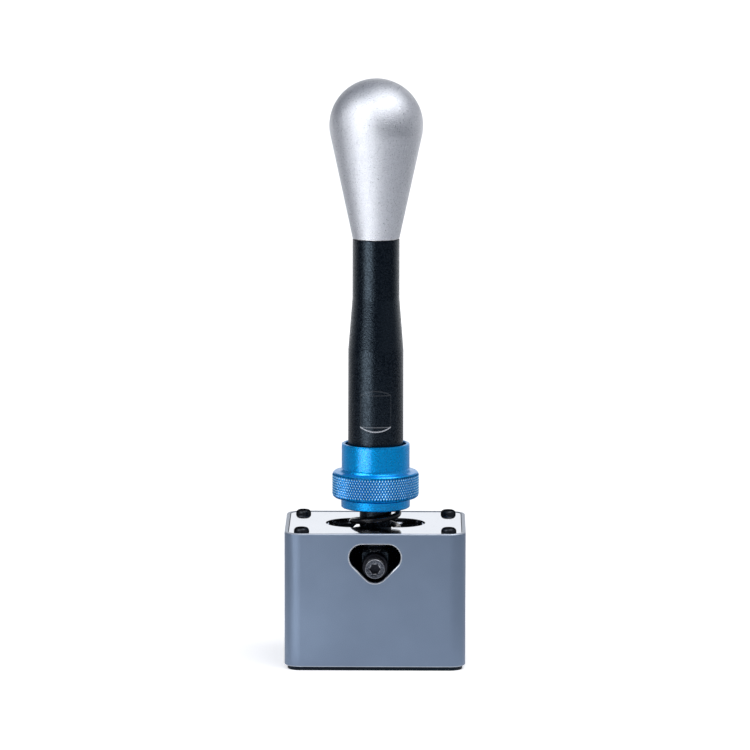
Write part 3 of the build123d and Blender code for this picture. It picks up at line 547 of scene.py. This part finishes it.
# The lever's shaft, the yoke and the grip tube: aluminium, bead-blasted and anodised black.
# The tube's two spanner flats are milled last, so their edges show bare metal.
tube_half = 0.0138
flat_from_axis = 0.01155
flat_low, flat_high = 0.1190, 0.1350
flat_half = 0.00755
line_half = 0.00022
black_paint, shader, place = new_finish("blasted_black")
grain = cloud(place, 1100.0, 4.0)
across = place.coordinate("X")
inward = place.coordinate("Y")
height = place.coordinate("Z")
off_axis = diagonal(across, inward)
ramp_depth = (tube_half ** 2 - across ** 2.0) ** 0.5 - flat_from_axis
on_flat = 1 - ramp_between(abs(across), flat_half - 0.00005, flat_half + 0.00025)


def edge_line(gap, half):
    """1 within half a line's width of an edge, 0 away from it."""
    return 1 - ramp_between(abs(gap), half, half * 1.6)


low_edge = across.maths("MAXIMUM",
                        0.7 * edge_line(height - flat_low + ramp_depth, line_half * 1.1),
                        0.22 * edge_line(height - flat_low, line_half * 0.7))
high_edge = across.maths("MAXIMUM", edge_line(height - flat_high - ramp_depth, line_half),
                         edge_line(height - flat_high, line_half * 0.8))
side_gap = abs(across) - flat_half
side_edge = edge_line(side_gap, line_half) * ramp_between(height, flat_low, flat_low + 0.0002)
side_edge = side_edge * (1 - ramp_between(height, flat_high, flat_high + 0.0002))
bare = across.maths("MAXIMUM", low_edge * on_flat, 0.05 * high_edge * on_flat)
bare = across.maths("MAXIMUM", bare, 0.02 * side_edge)
bare = bare * ramp_between(abs(inward), flat_from_axis - 0.00055, flat_from_axis - 0.00015)
bare = bare * (1 - ramp_between(off_axis, tube_half + 0.0002, tube_half + 0.0004))
lay(shader, Base_Color=blend_colours(bare, blend_colours(grain, (0.0002, 0.0010, 0.0028),
                                                         (0.0008, 0.0022, 0.0052)),
                                     (0.62, 0.64, 0.68)),
    Metallic=0.0, Specular_IOR_Level=0.50, Specular_Tint=(0.60, 0.80, 1.0),
    Roughness=0.14 + 0.20 * ramp_between(grain, 0.36, 0.60), Normal=relief(grain, 0.00012))
dress(black_paint, "lever_shaft", "follower_block", "grip_tube")

# The knob: aluminium turned to a teardrop, finely blasted and clear anodised.
# It screws on to a stud in the tube.
knob_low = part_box("knob")[0][2]
ring_rise = 0.0006
knob_paint, shader, place = new_finish("blasted_silver")
grain = cloud(place, 1700.0, 3.0)
speckle = ramp_between(cloud(place, 1800.0, 2.0), 0.25, 0.75)
height = place.coordinate("Z")
# Painted highlight: a thin turned band at the knob's foot is painted near white.
foot_ring_painted_highlight = 1 - ramp_between(height, knob_low + ring_rise, knob_low + ring_rise + 0.0002)
silver = blend_colours(speckle, (0.64, 0.66, 0.71), (0.80, 0.82, 0.87))
lay(shader, Base_Color=blend_colours(foot_ring_painted_highlight, silver, (0.98, 0.98, 0.99)),
    Metallic=1.0, Roughness=0.26 + 0.16 * speckle, Normal=relief(grain, 0.00036))
dress(knob_paint, "knob")

# The collar and the spring cup: aluminium, turned and dyed a clear bright blue.
# The collar's band is cross-knurled, 92 diamonds round, before the ends are chamfered.
blue_paint, shader, place = new_finish("blue_dye")
grain = cloud(place, 1200.0, 3.0)
band_half = 0.02175
knurl_depth = 0.00042
knurl_columns = 184
knurl_rows = 9
across = place.coordinate("X")
inward = place.coordinate("Y")
off_axis = diagonal(across, inward)
# Painted highlight on the knurl's peaks, near white, and painted shade in its valleys, a darker
# blue.
knurl_peaks_painted_highlight = ramp_between(off_axis, band_half - 0.60 * knurl_depth, band_half - 0.15 * knurl_depth)
knurl_valleys_painted_shade = (ramp_between(off_axis, band_half - 1.1 * knurl_depth, band_half - 0.9 * knurl_depth)
           * (1 - ramp_between(off_axis, band_half - 0.9 * knurl_depth,
                               band_half - 0.4 * knurl_depth)))
blue = blend_colours(grain, (0.0003, 0.285, 0.720), (0.0006, 0.375, 0.880))
blue = blend_colours(knurl_valleys_painted_shade, blue, (0.0004, 0.150, 0.480))
lay(shader, Base_Color=blend_colours(knurl_peaks_painted_highlight, blue, (0.62, 0.92, 1.0)),
    Metallic=0.75, Specular_IOR_Level=0.0, Roughness=0.22 + 0.14 * grain, Coat_Weight=0.5,
    Coat_Roughness=0.10, Coat_IOR=1.45, Normal=relief(grain, 0.00014))
dress(blue_paint, "spring_cup")
core_half = band_half - knurl_depth
collar_low = 0.0823
band_high = 0.0950
sleeve_half = 0.0170
collar_bore = 0.0153
collar_high = 0.1093
web_low = 0.0930
web_high = 0.0990
thread_half = 0.00805
band_bevel = 0.0010
cove = 0.0017
support = 0.0003  # a second ring this near keeps the sleeve's shading straight
top_round = 0.0005
bore_bevel = 0.0004
knurl_low = collar_low + band_bevel - knurl_depth
knurl_high = band_high - band_bevel + knurl_depth
body = turned("collar_body", [
    (collar_bore, collar_low), (band_half - band_bevel, collar_low),
    (core_half, knurl_low), (core_half, knurl_high),
    (band_half - band_bevel, band_high), (sleeve_half + 0.0014, band_high),
    (sleeve_half + 0.0007, band_high + 0.0003), (sleeve_half + 0.0003, band_high + 0.0009),
    (sleeve_half, band_high + cove), (sleeve_half, band_high + cove + support),
    (sleeve_half, collar_high - top_round - support), (sleeve_half, collar_high - top_round),
    (sleeve_half - 0.3 * top_round, collar_high - 0.3 * top_round),
    (sleeve_half - top_round, collar_high),
    (collar_bore + bore_bevel, collar_high), (collar_bore, collar_high - bore_bevel),
    (collar_bore, web_high), (thread_half, web_high), (thread_half, web_low),
    (collar_bore, web_low)], knurl_columns, loop=True)
knurl_tree, entry = new_tree("cross_knurl", {
    "Radius": "Float", "Depth": "Float", "Low": "Float", "High": "Float", "Around": "Int",
    "Rows": "Int", "Finish": "Material"})
tall = entry["High"] - entry["Low"]
tube = tall.node("GeometryNodeMeshCylinder", {"fill_type": "NONE"},
                 {"Vertices": entry["Around"], "Side Segments": entry["Rows"],
                  "Radius": entry["Radius"], "Depth": tall}, "Mesh")
lift = tall.node("CombineXYZ", {}, {"Z": (entry["Low"] + entry["High"]) * 0.5})
tube = tall.node("GeometryNodeTransform", {}, {"Geometry": tube, "Translation": lift})
point = tall.node("GeometryNodeInputPosition", {}, {})
across = point.coordinate("X")
inward = point.coordinate("Y")
upward = point.coordinate("Z")
column = tall.maths("ROUND", tall.maths("ARCTAN2", inward, across) * entry["Around"] * (0.5 / pi))
row = tall.maths("ROUND", (upward - entry["Low"]) * entry["Rows"] / tall)
peak = tall.maths("FLOORED_MODULO", column + row, 2.0)
within = (tall.maths("GREATER_THAN", row, 0.5)
          * tall.maths("GREATER_THAN", entry["Rows"] - row, 0.5))
outward = tall.node("VectorMath", {"operation": "NORMALIZE"},
                    {0: tall.node("CombineXYZ", {}, {"X": across, "Y": inward})})
push = tall.node("VectorMath", {"operation": "SCALE"},
                 {0: outward, "Scale": peak * within * entry["Depth"]})
tube = tall.node("GeometryNodeSetPosition", {}, {"Geometry": tube, "Offset": push})
tube = tall.node("GeometryNodeTriangulate", {"quad_method": "SHORTEST_DIAGONAL"}, {"Mesh": tube})
tube = tall.node("GeometryNodeSetShadeSmooth", {}, {"Geometry": tube, "Shade Smooth": False})
joined = tall.node("GeometryNodeJoinGeometry", {}, {"Geometry": entry["Geometry"]})
tall.tree.links.new(tube.end, joined.end.node.inputs[0])
end_tree(joined, entry["Finish"])
collar = grow("knurled_collar", knurl_tree, {
    "Radius": core_half, "Depth": knurl_depth, "Low": knurl_low, "High": knurl_high,
    "Around": knurl_columns, "Rows": knurl_rows, "Finish": blue_paint}, body)
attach(collar, "collar")
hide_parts("adjuster_collar")

# The spring: round music wire, coiled cold and blacked, with nearly closed end turns.
# It pushes the yoke down from the cup. The real spring shortens as the yoke rides up the tracks;
# this mesh keeps one length.
spring_paint, shader, place = new_finish("blacked_wire")
draw = cloud(place, 900.0, 3.0)
lay(shader, Base_Color=blend_colours(draw, (0.004, 0.004, 0.005), (0.012, 0.012, 0.014)),
    Metallic=0.0, Specular_IOR_Level=0.30, Roughness=0.12 + 0.12 * draw,
    Normal=relief(draw, 0.000008))
wire_half = 0.0015
coil_half = 0.0115
end_rise = 0.0037
open_turns = 2.25
spring_low, spring_high = 0.06295, 0.08845
spring_start = radians(35)
spring_steps = 340
spring_tree, entry = new_tree("coil", {
    "Radius": "Float", "Wire": "Float", "Low": "Float", "High": "Float", "Start": "Float",
    "End Rise": "Float", "Open Turns": "Float", "Steps": "Int", "Finish": "Material"})
line = entry["Low"].node("GeometryNodeMeshLine", {}, {"Count": entry["Steps"]})
turns = entry["Open Turns"] + 2.0
done = line.node("GeometryNodeInputIndex", {}, {}) / (entry["Steps"] - 1) * turns
first = line.maths("MINIMUM", done, 1.0)
middle = line.maths("MINIMUM", line.maths("MAXIMUM", done - 1.0, 0.0), entry["Open Turns"])
last = line.maths("MAXIMUM", done - 1.0 - entry["Open Turns"], 0.0)
open_rise = (entry["High"] - entry["Low"] - 2.0 * entry["End Rise"]) / entry["Open Turns"]
climb = entry["Low"] + (first + last) * entry["End Rise"] + middle * open_rise
angle = entry["Start"] + done * (2 * pi)
on_coil = line.node("CombineXYZ", {}, {"X": entry["Radius"] * line.maths("COSINE", angle),
                                       "Y": entry["Radius"] * line.maths("SINE", angle),
                                       "Z": climb})
line = line.node("GeometryNodeSetPosition", {}, {"Geometry": line, "Position": on_coil})
rail = line.node("GeometryNodeMeshToCurve", {}, {"Mesh": line})
section = line.node("GeometryNodeCurvePrimitiveCircle", {}, {"Resolution": 20,
                                                            "Radius": entry["Wire"]})
wire = line.node("GeometryNodeCurveToMesh", {}, {"Curve": rail, "Profile Curve": section,
                                                 "Fill Caps": True})
wire = line.node("GeometryNodeSetShadeSmooth", {}, {"Geometry": wire, "Shade Smooth": True})
end_tree(wire, entry["Finish"])
spring = grow("wound_spring", spring_tree, {
    "Radius": coil_half, "Wire": wire_half, "Low": spring_low, "High": spring_high,
    "Start": spring_start, "End Rise": end_rise, "Open Turns": open_turns,
    "Steps": spring_steps, "Finish": spring_paint})
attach(spring, "lever")
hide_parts("coil_spring")
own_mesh(spring)

# The thrust washer is turned from natural acetal and lies between the cup and the collar.
# The bump pads are cast urethane, one at the end of each stop screw.
acetal_paint, shader, place = new_finish("natural_acetal")
haze = cloud(place, 500.0)
lay(shader, Base_Color=blend_colours(haze, (0.78, 0.77, 0.73), (0.85, 0.84, 0.80)),
    Roughness=0.42 + 0.1 * haze, Normal=relief(haze, 0.000005))
dress(acetal_paint, "thrust_washer")
pad_paint, shader, place = new_finish("cast_urethane")
haze = cloud(place, 700.0)
lay(shader, Base_Color=blend_colours(haze, (0.55, 0.30, 0.04), (0.66, 0.38, 0.06)),
    Roughness=0.35 + 0.15 * haze, Normal=relief(haze, 0.00001))
dress(pad_paint, "bump_pads")

# The angle sensor: a nickel-plated magnet in the pivot's end turns in front of a small
# circuit board, green with solder mask, whose chips are moulded in black epoxy.
board_paint, shader, place = new_finish("solder_mask")
weave = cloud(place, 1500.0)
lay(shader, Base_Color=blend_colours(weave, (0.004, 0.075, 0.038), (0.008, 0.10, 0.05)),
    Roughness=0.30 + 0.1 * weave, Normal=relief(weave, 0.000006))
dress(board_paint, "sensor_board")
chip_paint, shader, place = new_finish("moulded_epoxy")
grain = cloud(place, 4000.0)
lay(shader, Base_Color=blend_colours(grain, (0.018, 0.018, 0.019), (0.032, 0.032, 0.033)),
    Roughness=0.55 + 0.15 * grain, Normal=relief(grain, 0.000008))
dress(chip_paint, "board_chips")
nickel_paint, shader, place = new_finish("nickel_plate")
bloom = cloud(place, 600.0)
lay(shader, Base_Color=blend_colours(bloom, (0.62, 0.60, 0.56), (0.70, 0.68, 0.64)), Metallic=1.0,
    Roughness=0.14 + 0.1 * bloom, Normal=relief(bloom, 0.000003))
dress(nickel_paint, "sensor_magnet")
